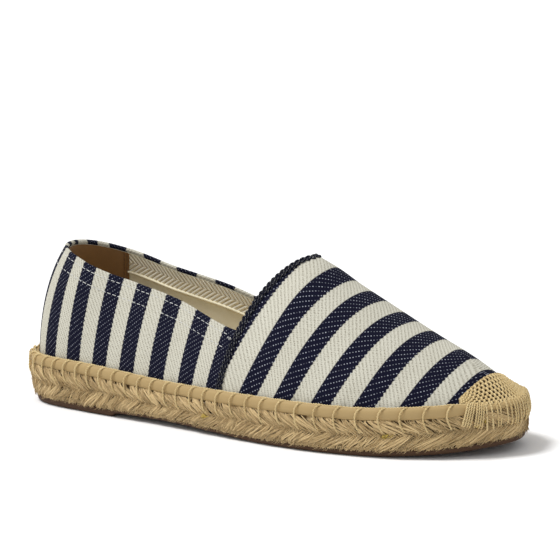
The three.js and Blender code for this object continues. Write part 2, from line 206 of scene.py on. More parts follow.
def throat_fraction(side):
    end = 0 if side < 0 else SOLE.total
    lo, hi = 0.0, 1.0
    for _ in range(50):
        half = (lo + hi) / 2
        x = SOLE.point(array(end + half * (SOLE.tip - end)), UPPER_INSET)[0]
        lo, hi = (half, hi) if x < THROAT_FOOT else (lo, half)
    return lo


THROAT_AT = {-1: throat_fraction(-1), 1: throat_fraction(1)}


def loop_at(side, s):
    """Station s (0 heel back, BACK throat seam, LAST toe tip) as the outline's parameter."""
    s = np.asarray(s, float)
    throat, back, ahead = THROAT_AT[side], s / BACK, (s - BACK) / FRONT
    behind = throat * (0.65 * back + 0.35 * (1 - cos(pi / 2 * back)))
    before = throat + (1 - throat) * (0.55 * ahead + 0.45 * sin(pi / 2 * clip(ahead, 0, 1)))
    end = 0 if side < 0 else SOLE.total
    return end + where(s <= BACK, behind, before) * (SOLE.tip - end)


def foot(side, s, depth=0.0):
    t = loop_at(side, s)
    return SOLE.point(t, upper_inset(SOLE.point(t)[..., 0]) + depth)


def surface(side, s, theta, depth=0.0):
    """The upper's surface: theta 0 at its foot, a right angle at the crown; depth in from its outside."""
    s, theta, depth = np.broadcast_arrays(*(np.asarray(v, float) for v in (s, theta, depth)))
    F, F0 = foot(side, s, depth), foot(side, s)
    m = (foot(-1, s)[..., 0] + foot(1, s)[..., 0]) / 2
    S = stack([spine(m), spine_side(m)], -1)
    g = clip(cos(theta), 0, 1) ** (2 / full_a(m))
    k = clip(sin(theta), 0, 1) ** (2 / full_b(m))
    xy = S + g[..., None] * (F - S)
    z0 = jute_top(F0[..., 0]) + GAP
    return at_level(xy, z0 + (crown(xy[..., 0]) - CROWN_DEPTH * depth - z0) * k)


def solve_theta(side, s, depth, below):
    """The angle up to which below(point) holds, for each station."""
    s = np.asarray(s, float)
    lo, hi = np.zeros(s.shape), np.full(s.shape, pi / 2)
    for _ in range(36):
        half = (lo + hi) / 2
        under = below(surface(side, s, half, depth))
        lo, hi = where(under, half, lo), where(under, hi, half)
    return lo


def theta_at_height(side, s, depth, height):
    z0 = jute_top(foot(side, s)[..., 0]) + GAP
    return solve_theta(side, s, depth, lambda p: p[..., 2] - z0 < height)


def theta_at_collar(side, s, depth, drop=0.0):
    """Where the collar edge lies, or a line drop mm below it."""
    def below(p):
        rise = medial_rise(p[..., 0]) if side > 0 else 0
        return p[..., 2] < collar_edge(p[..., 0]) + rise - drop
    return solve_theta(side, s, depth, below)


def theta_at_cap(side, s, depth):
    """Where the toe cap's rear edge crosses a station's line."""
    top = crown(CAP_CUT)
    return solve_theta(side, s, depth, lambda p: p[..., 0] - CAP_LEAN * (p[..., 2] - top) > CAP_CUT)


# --- meshes
# a ply's distance from the cord's middle and its own radius, as shares of the cord's radius
PLY_SPREAD, PLY_RADIUS = 0.55, 0.56


def unit(v):
    return v / np.maximum(np.linalg.norm(v, axis=-1, keepdims=True), 1e-9)


def lengths(P, axis):
    """Distance along a grid's lines, from their start."""
    step = np.linalg.norm(np.diff(P, axis=axis), axis=-1)
    start = np.zeros_like(np.take(step, [0], axis=axis))
    return concatenate([start, np.cumsum(step, axis=axis)], axis=axis)


def grid_normals(P):
    return unit(np.cross(np.gradient(P, axis=1), np.gradient(P, axis=0)))


def make(name, verts, quads, material, slot, values=None):
    """A mesh piece from points in mm and quads; values are named numbers at its points."""
    place = (np.asarray(verts, float) - [FRAME_MIDDLE[0], FRAME_MIDDLE[1], 0]) * MM
    mesh = bpy.data.meshes.new(name)
    mesh.vertices.add(len(place))
    mesh.vertices.foreach_set("co", place.ravel())
    mesh.loops.add(quads.size)
    mesh.loops.foreach_set("vertex_index", quads.ravel().astype(np.int32))
    mesh.polygons.add(len(quads))
    mesh.polygons.foreach_set("loop_start", arange(0, quads.size, 4, dtype=np.int32))
    mesh.polygons.foreach_set("use_smooth", np.ones(len(quads), bool))
    for key, numbers in (values or {}).items():
        layer = mesh.attributes.new(key, "FLOAT", "POINT")
        layer.data.foreach_set("value", np.asarray(numbers, np.float32).ravel())
    mesh.update(calc_edges=True)
    mesh.validate()
    mesh.materials.append(material)
    piece = bpy.data.objects.new(name, mesh)
    bpy.context.scene.collection.objects.link(piece)
    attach(piece, "root")
    return piece


def grid_quads(rows, cols, wrap_rows=False, wrap_cols=False, flip=False):
    j = arange(rows - (not wrap_rows))[:, None]
    i = arange(cols - (not wrap_cols))[None]
    ahead, above = (i + 1) % cols, (j + 1) % rows * cols
    a, b, c, d = j * cols + i, j * cols + ahead, above + ahead, above + i
    quads = stack([a, b, c, d], -1).reshape(-1, 4)
    return quads[:, ::-1] if flip else quads


def joined(grids):
    """The points and quads of several grids together, each given with its settings for grid_quads."""
    starts = np.cumsum([0] + [P.shape[0] * P.shape[1] for P, _ in grids])
    quads = [grid_quads(*P.shape[:2], **how) + start for (P, how), start in zip(grids, starts)]
    return concatenate([P.reshape(-1, 3) for P, _ in grids]), concatenate(quads)


def grid(name, P, material, slot, values=None, **how):
    return make(name, *joined([(P, how)]), material, slot, values)


def pick(at, run, rows):
    """Rows of numbers, known at the distances run along a line, read at the distances at."""
    return stack([interp(at, run, column) for column in rows.T], -1)


def tubes(name, lines, radius, material, slot, sides=6, plies=1, lay=4.0, closed=False, flat=1.0):
    """Tubes along lines of (points, normals) as one piece. plies twist about each, a turn in lay mm."""
    P, N = (array(v, float) for v in zip(*lines))
    radius = np.broadcast_to(radius, P.shape[:2])
    if closed:
        T = unit(np.roll(P, -1, axis=1) - np.roll(P, 1, axis=1))
    else:
        T = unit(np.gradient(P, axis=1))
    B = unit(np.cross(T, N))
    N = np.cross(B, T)
    run = lengths(P, 1)
    tone = np.repeat(RNG.random(len(P))[:, None], P.shape[1], axis=1)
    if plies > 1:
        start = RNG.random(len(P))[:, None]
        turns = np.round(run[:, -1:] / lay) * run / run[:, -1:] if closed else run / lay + start
        strands = []
        for ply in range(plies):
            w = 2 * pi * (turns + ply / plies)
            turned = cos(w)[..., None] * N + sin(w)[..., None] * B
            strands.append(P + (radius * PLY_SPREAD)[..., None] * turned)
        P = concatenate(strands)
        N, B, run, tone = (concatenate([v] * plies) for v in (N, B, run, tone))
        radius = concatenate([radius * PLY_RADIUS] * plies)
    k, m = P.shape[:2]
    round_share = linspace(0, 1, sides + 1)
    phi = pi + round_share * 2 * pi
    ring = cos(phi)[:, None] * N[:, :, None] * flat + sin(phi)[:, None] * B[:, :, None]
    verts = P[:, :, None] + radius[..., None, None] * ring
    one = grid_quads(m, sides + 1, wrap_rows=closed, flip=True)
    quads = (one[None] + (arange(k) * m * (sides + 1))[:, None, None]).reshape(-1, 4)
    values = {"run": np.repeat(run, sides + 1), "tone": np.repeat(tone, sides + 1),
              "round": np.tile(round_share, k * m)}
    return make(name, verts.reshape(-1, 3), quads, material, slot, values)


# --- shader helper
class Value:
    """A node's output that plain arithmetic works on."""

    def __init__(self, shader, socket):
        self.shader, self.socket = shader, socket

    def __add__(self, other):
        return self.shader.math("ADD", self, other)

    def __sub__(self, other):
        return self.shader.math("SUBTRACT", self, other)

    def __mul__(self, other):
        return self.shader.math("MULTIPLY", self, other)

    def __truediv__(self, other):
        return self.shader.math("DIVIDE", self, other)


class Shader:
    """A material and short calls for its nodes; a Value or a plain number can be given anywhere."""

    def __init__(self, name):
        self.material = bpy.data.materials.new(name)
        self.material.use_nodes = True
        self.tree = self.material.node_tree
        self.out = self.tree.nodes["Principled BSDF"]

    def node(self, kind, settings=None, **inputs):
        node = self.tree.nodes.new(kind)
        for key, value in (settings or {}).items():
            setattr(node, key, value)
        for key, value in inputs.items():
            numbered = key[0] == "i" and key[1:].isdigit()
            self.put(node.inputs[int(key[1:]) if numbered else key.replace("_", " ")], value)
        return node

    def put(self, socket, value):
        if isinstance(value, Value):
            self.tree.links.new(value.socket, socket)
        else:
            socket.default_value = value

    def value(self, kind, output, settings=None, **inputs):
        return Value(self, self.node(kind, settings, **inputs).outputs[output])

    def number(self, attribute):
        return self.value("ShaderNodeAttribute", "Fac", {"attribute_name": attribute})

    def math(self, operation, a, b=0.0):
        return self.value("ShaderNodeMath", 0, {"operation": operation}, i0=a, i1=b)

    def smooth(self, value, low, high, to_low=0.0, to_high=1.0):
        return self.value("ShaderNodeMapRange", "Result", {"interpolation_type": "SMOOTHSTEP"}, Value=value,
                          From_Min=low, From_Max=high, To_Min=to_low, To_Max=to_high)

    def combine(self, x, y, z=0.0):
        return self.value("ShaderNodeCombineXYZ", 0, X=x, Y=y, Z=z)

    def noise(self, vector, scale, detail=2.0, rough=0.5):
        return self.value("ShaderNodeTexNoise", "Fac", Vector=vector, Scale=scale, Detail=detail,
                          Roughness=rough)

    def place(self):
        return self.value("ShaderNodeTexCoord", "Object")

    def wave(self, value, length):
        return self.math("SINE", value * (2 * pi / length))

    def twist(self, lay, plies):
        """The wave of that many plies wound round a cord, one turn in lay mm."""
        return self.math("SINE", self.number("run") * (2 * pi / lay)
                         + self.number("round") * (2 * pi * plies))

    def mix(self, factor, *colours):
        """Blends two colours, each a Value or three screen values from 0 to 255."""
        node = self.node("ShaderNodeMix", {"data_type": "RGBA"})
        self.put(node.inputs["Factor"], factor)
        sockets = [socket for socket in node.inputs if socket.type == "RGBA"]
        for socket, colour in zip(sockets, colours):
            self.put(socket, colour if isinstance(colour, Value) else srgb(*colour))
        return Value(self, [socket for socket in node.outputs if socket.type == "RGBA"][0])

    def bump(self, height, strength, distance_mm):
        bump = self.value("ShaderNodeBump", 0, Height=height, Strength=strength, Distance=distance_mm * MM)
        self.put(self.out.inputs["Normal"], bump)

    def finish(self, colour, rough, sheen=0.0, specular=0.3):
        settings = {"Base Color": colour, "Roughness": rough, "Specular IOR Level": specular,
                    "Sheen Weight": sheen}
        for key, value in settings.items():
            self.put(self.out.inputs[key], value)
        return self.material


def srgb(r, g, b):
    """A colour named in screen values from 0 to 255."""
    linear = [((v / 255 + 0.055) / 1.055) ** 2.4 if v > 10 else v / 3294.6 for v in (r, g, b)]
    return (*linear, 1.0)


def striped_canvas(name, navy_half, heel_teeth, toe_teeth, fleck_row, fleck_step, fleck_light, slant):
    """Navy and off-white stripes in twill. navy_half is half a navy stripe as a share of the pitch,
    *_teeth are the sizes of the teeth on a stripe's two edges in mm, fleck_* say how the pale weft
    flecks lie on the navy, and slant is +1 or -1 for the way their rows lean."""
    sh = Shader(name)
    across, along, band = sh.number("across"), sh.number("along"), sh.number("band")

    def diagonal(ca, cb):
        return across * ca + along * (cb * slant)

    def cell(value, size):
        scaled = value / size
        return sh.math("FLOOR", scaled), sh.math("FRACT", scaled) - 0.5

    # stripes, with teeth on their edges
    nearest = sh.math("ROUND", band)
    off = band - nearest
    tooth = 1.05
    wander = sh.noise(sh.combine(along * 0.8, nearest), 1.0, 3.0)
    jag = sh.math("PINGPONG", along, tooth) / tooth * 0.7 + wander * 1.1
    heel_edge = jag * (heel_teeth / STRIPE_PITCH) - navy_half
    toe_edge = sh.math("SUBTRACT", navy_half, jag * (toe_teeth / STRIPE_PITCH))
    soft = 0.012
    navy = sh.smooth(off - heel_edge, -soft, soft) * sh.smooth(toe_edge - off, -soft, soft)

    # pale weft flecks in slanting rows on the navy, of this half width and half length in mm
    wide, long = 0.34, 0.36
    row, over = cell(diagonal(0.74, -0.67), fleck_row)
    _, step = cell(diagonal(0.67, 0.74) + row * 0.43, fleck_step)
    radial = sh.math("SQRT", sh.math("POWER", over * (fleck_row / wide), 2.0)
                     + sh.math("POWER", step * (fleck_step / long), 2.0))
    luck = sh.noise(sh.combine(across, along), 0.9)
    fleck = sh.smooth(radial, 1.0, 0.3) * sh.smooth(luck, 0.36, 0.62, 0.12, 1.0)

    # twill ribs and small shadows between them on the off-white
    weave = sh.wave(diagonal(0.77, 0.64), 1.55) * 0.6 + sh.wave(diagonal(-0.64, 0.77), 0.8) * 0.4
    grain = sh.noise(sh.combine(across * 1.6, along), 1.5, 4.0, 0.7)
    pit = sh.smooth(weave * 0.14 + grain, 0.54, 0.26)
    cloudy = sh.noise(sh.combine(across, along), 0.06, 3.0)
    white = sh.mix(pit, sh.mix(cloudy, (208, 206, 193), (196, 193, 178)), (128, 121, 104))
    blue = sh.mix(fleck * fleck_light, sh.mix(grain, (6, 7, 20), (22, 24, 46)), (190, 194, 206))
    sh.bump(weave * 0.24 + grain * 1.2 + fleck * -0.3, 0.6, 0.26)
    return sh.finish(sh.mix(navy, white, blue), 0.95, specular=0.1)


def plain_weave(name, light, dark, pitch=0.7, depth=0.18):
    """A plain cloth of one colour, woven square at that pitch in mm."""
    sh = Shader(name)
    across, along = sh.number("across"), sh.number("along")
    grain = sh.noise(sh.combine(across, along), 0.5, 4.0, 0.65)
    sh.bump(sh.wave(across, pitch) * sh.wave(along, pitch) + grain, 0.5, depth)
    return sh.finish(sh.mix(grain, light, dark), 0.9, sheen=0.1, specular=0.2)


def twisted_selvedge(name):
    """Navy cord wound with a thin pale thread."""
    sh = Shader(name)
    wind, grain = sh.twist(1.3, 3), sh.noise(sh.place(), 1500.0)
    pale = sh.smooth(wind + grain * 2.2, 0.5, -0.3)
    sh.bump(wind + grain, 0.8, 0.25)
    navy = sh.mix(grain, (6, 7, 20), (24, 26, 48))
    return sh.finish(sh.mix(pale * 0.6, navy, (190, 190, 184)), 0.9, specular=0.15)


def herringbone(name):
    """Twill tape with ribs that turn at its middle; across runs down the tape, along its length."""
    sh = Shader(name)
    across, along = sh.number("across"), sh.number("along")
    rib = sh.wave(along - sh.math("PINGPONG", across, 4.6) * 1.1, 2.6)
    sh.bump(rib + sh.noise(sh.combine(across, along), 1.1, 3.0), 0.8, 0.3)
    # the rib troughs take the darker colour: painted shade in the grooves; the pale colour is set above the
    # tape's own: painted light for the shoe's inside
    colour = sh.mix(sh.smooth(rib, -1.0, -0.5), (186, 170, 136), (252, 246, 226))
    return sh.finish(colour, 0.9, sheen=0.1, specular=0.2)


def cord_material(name, light, dark, lay=1.6):
    """Twisted cotton cord."""
    sh = Shader(name)
    fuzz = sh.noise(sh.place(), 2200.0)
    sh.bump(sh.twist(lay, 2) * 0.5 + fuzz, 0.5, 0.2)
    colour = sh.mix(sh.number("tone") * 0.5 + fuzz * 0.4, light, dark)
    return sh.finish(colour, 0.85, sheen=0.15, specular=0.25)


def jute_material(name, light, dark):
    """Dry plant fibre: fine streaks along each yarn, each yarn a little lighter or darker."""
    sh = Shader(name)
    tone = sh.number("tone")
    fibre = sh.combine(sh.number("run") * 0.35, sh.number("round") * 7.0, tone * 40.0)
    streak = sh.noise(fibre, 1.6, 4.0, 0.7)
    patch = sh.noise(sh.place(), 60.0)
    sh.bump(streak, 0.9, 0.35)
    colour = sh.mix(streak * 0.7 + tone * 0.6 + patch * 0.3 - 0.35, light, dark)
    return sh.finish(colour, 0.9, sheen=0.1, specular=0.2)


def smooth_material(name, light, dark, rough, grain_mm, depth, specular=0.4, sheen=0.0):
    """Rubber, coated cloth or suede: one colour with a fine grain."""
    sh = Shader(name)
    grain = sh.noise(sh.place(), 1000.0 / grain_mm, 4.0, 0.65)
    cloudy = sh.noise(sh.place(), 45.0, 3.0)
    sh.bump(grain, 0.5, depth)
    return sh.finish(sh.mix(grain * 0.5 + cloudy * 0.5, light, dark), rough, sheen=sheen, specular=specular)


VAMP_CANVAS = striped_canvas("vamp_canvas", 0.267, 0.0, 0.75, 2.25, 1.25, 0.9, 1)
QUARTER_CANVAS = striped_canvas("quarter_canvas", 0.29, 0.55, 0.65, 1.7, 1.15, 0.5, -1)
# paler than the cloth's own colour: painted light standing in for fill light inside the shoe
LINING = plain_weave("lining_canvas", (252, 248, 226), (244, 236, 208))
HEEL_SEAM = plain_weave("heel_seam_canvas", (206, 203, 190), (188, 184, 168), pitch=0.8, depth=0.25)
FOOTBED = plain_weave("footbed_canvas", (212, 192, 152), (184, 162, 122), pitch=1.1, depth=0.3)
TAPE = herringbone("herringbone_tape")
# paler than the cotton's own colour: painted light standing in for fill light inside the shoe
PIPING = plain_weave("piping_cotton", (250, 242, 216), (236, 226, 194))
SUEDE = smooth_material("heel_suede", (160, 122, 78), (128, 94, 56), 0.95, 0.5, 0.15, 0.1, 0.2)
BINDING = smooth_material("lining_binding", (150, 114, 74), (124, 90, 54), 0.9, 0.5, 0.1, 0.2)
RAND = smooth_material("rand_cloth", (182, 157, 110), (160, 134, 90), 0.66, 0.35, 0.06, 0.3)
RUBBER = smooth_material("brown_rubber", (84, 60, 42), (62, 43, 29), 0.75, 0.6, 0.12, 0.25)
CORD = cord_material("cotton_cord", (222, 200, 150), (196, 170, 118))
TAN_THREAD = cord_material("tan_thread", (120, 88, 52), (92, 64, 34), lay=0.7)
WHITE_THREAD = cord_material("white_thread", (226, 226, 220), (196, 196, 196), lay=0.7)
NAVY_CORD = twisted_selvedge("navy_cord")
JUTE = jute_material("jute_yarn", (232, 205, 154), (134, 105, 62))
# darker than the yarn: painted shade for the gaps between the braid's leaves
JUTE_CORE_SHADE = jute_material("jute_core_shade", (130, 104, 68), (70, 52, 32))
STRAW = jute_material("straw", (226, 200, 104), (168, 138, 62))
# a dark sheet under the lace loops: painted shade in the gaps between them
LACE_SHADE_SHEET = smooth_material("lace_shade_sheet", (92, 68, 40), (60, 42, 24), 0.95, 0.6, 0.2, 0.1)


# --- creases and puckers in the cloth
# side -1 is lateral; x, z on the shoe; angle from level; a soft trough or ridge along that line
CREASES = table("side x z angle length width rise",
                (-1, 152, 33, 62, 17, 5.0, -0.45), (-1, 171, 29, 58, 14, 4.5, -0.35),
                (-1, 190, 30, 55, 11, 4.0, 0.35), (-1, 208, 28, 50, 9, 3.5, -0.3),
                (1, 158, 34, 60, 17, 5.0, -0.45), (1, 184, 31, 56, 12, 4.5, -0.35),
                (1, 204, 29, 52, 10, 4.0, 0.3), (-1, 78, 36, 84, 15, 6.0, -0.5),
                (-1, 46, 42, 86, 16, 6.0, 0.4), (-1, 104, 31, 80, 10, 5.0, -0.35),
                (1, 70, 38, 84, 15, 6.0, -0.5), (1, 100, 33, 82, 11, 5.0, 0.35))
PUCKER_PITCH = 8.2


def relief(P, side, q):
    """How far the cloth stands off its plain surface, mm; q is the distance round the foot line."""
    lift = np.zeros(P.shape[:-1])
    for row in CREASES:
        c, s = cos(math.radians(row["angle"])), sin(math.radians(row["angle"]))
        dx, dz = P[..., 0] - row["x"], P[..., 2] - row["z"]
        along, over = dx * c + dz * s, -dx * s + dz * c
        here = row["rise"] * exp(-(over / row["width"]) ** 2 - (along / row["length"]) ** 2)
        lift += where(side == row["side"], here, 0)
    height = P[..., 2] - jute_top(P[..., 0]) - RAND_HEIGHT
    lift += 0.22 * cos(2 * pi * q / PUCKER_PITCH) * exp(-clip(height, 0, 60) / 4.5)
    return lift


def over_both(side_rows, make_side):
    """A grid that goes over the crown: lateral foot -> crown -> medial foot."""
    lateral, medial = make_side(-1, side_rows), make_side(1, side_rows)
    return concatenate([lateral, medial[::-1][1:]])


def round_heel(stations, make_side):
    """A grid that goes round the heel: lateral throat -> heel back -> medial throat."""
    lateral, medial = make_side(-1, stations), make_side(1, stations)
    return concatenate([lateral[:, ::-1], medial[:, 1:]], axis=1)


def foot_arc(side, s):
    """Distance round the foot line from the heel back, the same sign on both sides."""
    arc = SOLE.arc_at(loop_at(side, s))
    return arc if side < 0 else SOLE.length - arc


# --- upper
def vamp():
    s = BACK + FRONT * linspace(0, 1, 130) ** 1.05
    theta = pi / 2 * linspace(0, 1, 84)
    P = over_both(theta, lambda side, th: surface(side, s[None], th[:, None]))
    rows = len(theta)
    side = where(arange(len(P)) < rows, -1, 1)[:, None] * np.ones(len(s))
    q = over_both(theta, lambda sd, th: np.repeat(foot_arc(sd, s)[None], len(th), 0))
    across = P[..., 0].copy()
    level = jute_top(P[..., 0]) + GAP
    share = clip((P[..., 2] - level) / (crown(P[..., 0]) - level), 1e-6, 1)
    for _ in range(14):
        across = P[..., 0] - vamp_lean(across) * share ** vamp_bend(across)
    along = lengths(P, 0)
    along = along - along[rows - 1]
    P = P + grid_normals(P) * (relief(P, side, q) + 0.55 * exp(-(across - THROAT_FOOT) / 12))[..., None]
    values = {"across": across * 0.86, "along": along, "band": vamp_band(across)}
    piece = grid("vamp", P, VAMP_CANVAS, "striped_canvas", values, flip=True)
    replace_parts(piece, "upper")
    return P


HEEL_SEAM_HALF = 2.9


def quarter():
    s = linspace(0, BACK + 0.9, 150)
    levels = linspace(0, 1, 64)
    arc = linspace(0, pi, 11)[1:-1]

    def one_side(side, stations):
        top, inner_top = theta_at_collar(side, stations, 0.0), theta_at_collar(side, stations, WALL)
        out = surface(side, stations[None], levels[:, None] * top[None])
        O, I = out[-1], surface(side, stations, inner_top, WALL)
        middle, half = (O + I) / 2, (O - I) / 2
        radius = np.linalg.norm(half, axis=-1, keepdims=True)
        turn = arc[:, None, None]
        rim = middle[None] + cos(turn) * half + sin(turn) * radius * [0, 0, 1]
        tuck = array([1, 0.97, 0.94])[:, None]
        under = surface(side, stations[None], inner_top[None] * tuck, WALL - 0.1)
        return concatenate([out, rim, under])

    P = round_heel(s, one_side)
    q = round_heel(s, lambda sd, st: np.repeat(foot_arc(sd, st)[None], len(P), 0))
    side = where(arange(P.shape[1]) < len(s), -1, 1)[None] * np.ones((len(P), 1))
    along = lengths(P, 0)
    along = along[len(levels) - 1][None] - along
    F = P[0]
    onward = unit(np.gradient(F[:, :2], axis=0)) * where(side[0] < 0, -1, 1)[:, None]
    shift = ((P[..., :2] - F[None, :, :2]) * onward[None]).sum(-1)
    share = (P[..., 2] - F[:, 2]) / (P[..., 2].max(0) - F[:, 2])
    lean = where(side[0] < 0, lateral_lean(F[:, 0]), medial_lean(F[:, 0]))
    band = quarter_band(q + shift - lean[None] * share) + MEDIAL_BAND * (side > 0)
    lift = relief(P, side, q) * (arange(len(P)) < len(levels))[:, None]
    fade = clip(along / 6, 0, 1)
    P = P + grid_normals(P) * (lift * fade)[..., None]
    values = {"across": q, "along": along, "band": band}
    grid("quarter", P, QUARTER_CANVAS, "striped_canvas", values, flip=True)
    near = q[0] < HEEL_SEAM_HALF
    dome = np.sqrt(1 - (q[0, near] / HEEL_SEAM_HALF) ** 2)
    rows = len(levels) + len(arc)
    face = grid_normals(P)[:rows, near]
    seam = P[:rows, near] + face * 0.05 + face * 0.4 * dome[None, :, None]
    values = {"across": q[:rows, near], "along": along[:rows, near]}
    grid("heel_seam", seam, HEEL_SEAM, "striped_canvas", values, flip=True)


def inner_sheet(name, s_low, s_high, low, high, depth, material, columns=90, rows=40):
    """A sheet inside the quarter, from low to high(side, s) in theta, round the heel or one a side."""
    def one_side(side, stations):
        lo, hi = low(side, stations), high(side, stations)
        share = linspace(0, 1, rows)[:, None]
        return surface(side, stations[None], lo[None] + (hi - lo)[None] * share, depth)

    s = linspace(s_low, s_high, columns)
    parts = [one_side(-1, s)[:, ::-1], one_side(1, s)] if s_low > 0 else [round_heel(s, one_side)]
    values = {"across": concatenate([lengths(P[::-1], 0)[::-1].ravel() for P in parts]),
              "along": concatenate([lengths(P, 1).ravel() for P in parts])}
    return make(name, *joined([(P, {}) for P in parts]), material, "insole_canvas", values)


def at_height(depth, height):
    return lambda side, s: theta_at_height(side, s, depth, height)


def at_collar(depth, drop):
    return lambda side, s: theta_at_collar(side, s, depth, drop)


HEEL_LINING_END = 8.2          # station where the heel lining stops
BINDING_WIDTH = 0.42           # stations
TAPE_DROP = 10.5               # the tape's lower edge, mm below the collar


def station_line(side, s, th, depth):
    """A path on the inside, with its normals facing into the shoe."""
    P = surface(side, s, th, depth)
    inward = surface(side, s, th, depth + 1) - P
    return P, unit(inward)


def linings():
    inner_sheet("quarter_lining", 0, BACK + 0.6, at_height(WALL, 1.5), at_collar(WALL, 1.0), WALL,
                LINING, 120)
    theta = pi / 2 * linspace(0, 1, 50)
    s = linspace(BACK, LAST, 60)
    P = over_both(theta, lambda side, th: surface(side, s[None], th[:, None], WALL))
    start = np.full((1, 1), float(BACK))
    edge = over_both(theta, lambda side, th: surface(side, start, th[:, None], 0.1))
    P = concatenate([edge, P], axis=1)
    values = {"across": P[..., 0], "along": lengths(P, 0)}
    grid("vamp_lining", P, LINING, "insole_canvas", values)
    inner_sheet("heel_lining", 0, HEEL_LINING_END, at_height(WALL, 2.0), at_collar(WALL, 0.6),
                WALL + 0.5, SUEDE)
    inner_sheet("lining_binding", HEEL_LINING_END - BINDING_WIDTH, HEEL_LINING_END + 0.1,
                at_height(WALL, 2.0), at_collar(WALL, 0.6), WALL + 0.75, BINDING, 6)
    inner_sheet("collar_tape", HEEL_LINING_END - 0.3, BACK + 0.4, at_collar(WALL, TAPE_DROP),
                at_collar(WALL, 1.0), WALL + 0.35, TAPE, 90, 16)
    s = linspace(HEEL_LINING_END, BACK + 0.4, 120)
    lines = [station_line(side, s, theta_at_collar(side, s, WALL, TAPE_DROP), WALL + 0.55)
             for side in (-1, 1)]
    tubes("tape_piping", lines, 0.62, PIPING, "insole_canvas", sides=8)


def binding_stitches():
    """Two upright rows of stitches on each binding."""
    count = 16
    lines = []
    for side in (-1, 1):
        for ahead in (0.08, 0.34):
            s = np.full(5, HEEL_LINING_END - ahead)
            lo, hi = theta_at_height(side, s, WALL, 3.5), theta_at_collar(side, s, WALL, 0.8)
            for k in range(count):
                share = (k + linspace(0.14, 0.86, len(s))) / count
                lines.append(station_line(side, s, lo + (hi - lo) * share, WALL + 0.85))
    tubes("binding_stitches", lines, 0.2, TAN_THREAD, "insole_canvas", sides=5)


def collar_stitches():
    """Two rows of white stitches round the outside of the collar."""
    length, gap, lift = 2.0, 0.9, 0.12
    s = linspace(0.0, BACK - 0.25, 1200)
    dip = 0.28 * np.abs(linspace(-1, 1, 7)) ** 3
    lines = []
    for side in (-1, 1):
        for drop in (1.6, 7.2):
            th = theta_at_collar(side, s, 0.0, drop)
            P = surface(side, s, th, -lift)
            out = unit(P - surface(side, s, th, 1.0))
            run = lengths(P, 0)
            for start in arange(0.5, run[-1] - length, length + gap):
                here = linspace(start, start + length, len(dip))
                N = unit(pick(here, run, out))
                lines.append((pick(here, run, P) - N * dip[:, None], N))
    tubes("collar_topstitch", lines, 0.17, WHITE_THREAD, "striped_canvas", sides=5, flat=0.7)


def selvedge(vamp_grid):
    """Rope-like woven edge of the vamp along the throat, and the tacks at its corners."""
    line, ahead = vamp_grid[:, 0], vamp_grid[:, 5]
    N = unit(np.cross(ahead - line, np.gradient(line, axis=0)))
    forward = unit(ahead - line)
    run = lengths(line, 0)
    even = linspace(0, run[-1], 420)
    line, N, forward = (pick(even, run, v) for v in (line, N, forward))
    N, forward = unit(N), unit(forward)
    N = N * np.sign(N[len(N) // 2, 2])
    for _ in range(60):                       # no kink where the two sides meet on the crown
        for v in (line, N, forward):
            v[1:-1] = (v[:-2] + 2 * v[1:-1] + v[2:]) / 4
    N, forward = unit(N), unit(forward)
    lines = [(line + forward * 0.6 - N * 0.1, N), (line + forward * 2.1 + N * 0.05, N)]
    tubes("throat_selvedge", lines, 0.98, NAVY_CORD, "striped_canvas", sides=8, plies=2, lay=5.2)
    s = array([BACK - 0.35, BACK + 0.25])
    wave = linspace(0, 1, 30)[:, None]
    tacks = []
    for side in (-1, 1):
        th = theta_at_collar(side, s, 0.0, 3.0)
        a, b = surface(side, s, th, -0.9)
        out = unit(surface(side, s, th, -1.0)[0] - surface(side, s, th, 0.0)[0])
        path = a + (b - a) * wave + array([0, 0, 0.6]) * sin(wave * 7 * pi)
        tacks.append((path, np.repeat(out[None], len(wave), 0)))
    tubes("corner_tacks", tacks, 0.13, WHITE_THREAD, "striped_canvas", sides=5)


# --- sole
FLARE_SHARE = 0.85             # how much of the rubber's flare the jute's foot follows
TIP_INSET = 0.9                # how far in the jute and the rand lie under the cords at the toe tip


def wall(q, inset, z):
    """Points on the sole's wall at arc q and height z, and the way out from them."""
    t = SOLE.at_arc(q)
    P, inner = SOLE.point(t, inset), SOLE.point(t, np.asarray(inset, float) + 1.0)
    return at_level(P, z), at_level(P - inner, 0 * z)


def tip_share(q):
    """1 round the toe tip under the cords, 0 elsewhere."""
    from_tip = np.mod(q, SOLE.length) - SOLE.arc_at(SOLE.tip)
    return 1 / (1 + (from_tip / 22) ** 8)


def rand_height(q):
    return RAND_HEIGHT * (1 - 0.5 * tip_share(q))


def jute_wall(q, up, out):
    """Up is 0 at the jute's foot and 1 at its top; out is mm beyond the sole's outline."""
    q, up, out = np.broadcast_arrays(q, up, out)
    x = x_at(q)
    inset = FLARE_SHARE * (1 - up) * flare(x) - out + TIP_INSET * tip_share(q) * clip(0.35 + up, 0, 1)
    return wall(q, inset, jute_foot(x) + (jute_top(x) - jute_foot(x)) * up)


def slab(name, rows, material, slot, node):
    """A slab that follows the outline; rows are (inset(x), height(x)) from its foot to its top."""
    s = linspace(0, LAST, 300)
    sides = {}
    for side in (-1, 1):
        t = loop_at(side, s)
        x = SOLE.point(t)[..., 0]
        lines = [SOLE.point(t, inset(x)) for inset, _ in rows]
        sides[side] = [at_level(P, height(P[..., 0])) for P, (_, height) in zip(lines, rows)]
    ring = stack([concatenate([a, b[::-1][1:-1]]) for a, b in zip(sides[-1], sides[1])])
    grids = [(ring, {"wrap_cols": True})]
    share = linspace(0, 1, 13)[:, None, None]
    for row in (0, len(rows) - 1):
        a, b = sides[-1][row], sides[1][row]
        P = a[None] + (b - a)[None] * share
        P[..., 2] = rows[row][1](P[..., 0])
        grids.append((P, {"flip": row > 0}))
    verts, quads = joined(grids)
    values = {"across": verts[:, 0], "along": verts[:, 1], "run": verts[:, 0], "round": verts[:, 1] * 0.4,
              "tone": np.full(len(verts), 0.5)}
    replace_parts(make(name, verts, quads, material, slot, values), node)


